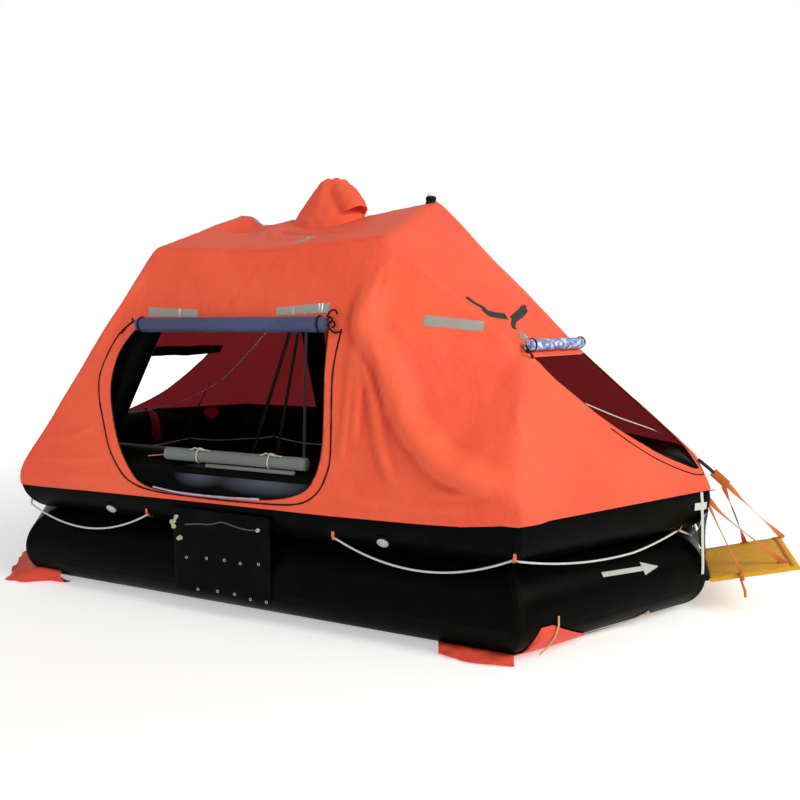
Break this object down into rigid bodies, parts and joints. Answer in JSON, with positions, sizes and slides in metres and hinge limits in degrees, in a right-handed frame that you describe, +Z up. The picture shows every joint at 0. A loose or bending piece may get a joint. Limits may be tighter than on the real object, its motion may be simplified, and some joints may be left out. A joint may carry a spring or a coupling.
{
  "type": "canopied self-righting inflatable liferaft",
  "caption": "Canopied self-righting inflatable liferaft: black buoyancy tubes, orange tent on arch tubes, rolled-up door curtains, lookout hood, lifelines and a folding boarding ramp.",
  "frame": {"origin": "on the surface the raft stands on, under the middle of its overall box with the ramp out", "axes": "+X along the raft towards the boarding ramp, -Y out of the front door, +Z up"},
  "size_m": [5.2473, 2.604, 2.598],
  "materials": {
    "tube_rubber": "smooth rubber-coated fabric",
    "arch_rubber": "smooth rubber-coated fabric",
    "floor_rubber": "matt rubber-coated fabric",
    "canopy_cloth": "coated cloth, satin",
    "hood_cloth": "coated cloth, satin",
    "curtain_lining": "lining cloth, satin",
    "curtain_cloth": "coated cloth, matt",
    "batten_plastic": "matt",
    "lifeline_rope": "braided cord",
    "pocket_cloth": "coated cloth, satin",
    "ramp_cloth": "coated cloth, matt",
    "flange_rubber": "matt",
    "panel_rubber": "matt",
    "valve_plastic": "matt",
    "lamp_base": "matt",
    "lamp_dome": "gloss"
  },
  "bodies": {
    "raft": {"tube_lower": "tube_rubber", "tube_upper": "tube_rubber", "floor": "floor_rubber", "arch_left": "arch_rubber", "arch_right": "arch_rubber", "canopy_front": "canopy_cloth", "canopy_back": "canopy_cloth", "canopy_roof": "canopy_cloth", "canopy_end_left": "canopy_cloth", "canopy_end_right": "canopy_cloth", "lookout_hood": "hood_cloth", "roll_front": "curtain_lining", "roll_end_left": "curtain_lining", "roll_end_right": "curtain_lining", "curtain_roll": "curtain_cloth", "curtain_batten": "batten_plastic", "light_base": "lamp_base", "light_dome": "lamp_dome", "bottle_panel": "panel_rubber", "valve_left": "valve_plastic", "valve_right": "valve_plastic", "pocket_front_left": "pocket_cloth", "pocket_front_right": "pocket_cloth", "pocket_back_left": "pocket_cloth", "pocket_back_right": "pocket_cloth", "lifeline_outer": "lifeline_rope", "lifeline_inner": "lifeline_rope", "ramp_flange": "flange_rubber"},
    "ramp": {"boarding_ramp": "ramp_cloth"}
  },
  "joints": [
    {"name": "ramp_fold", "type": "hinge", "parent": "raft", "child": "ramp", "pos_m": [2.20682, 0, 0.197], "axis": [0, -1, 0], "range_deg": [0, 68]}
  ]
}
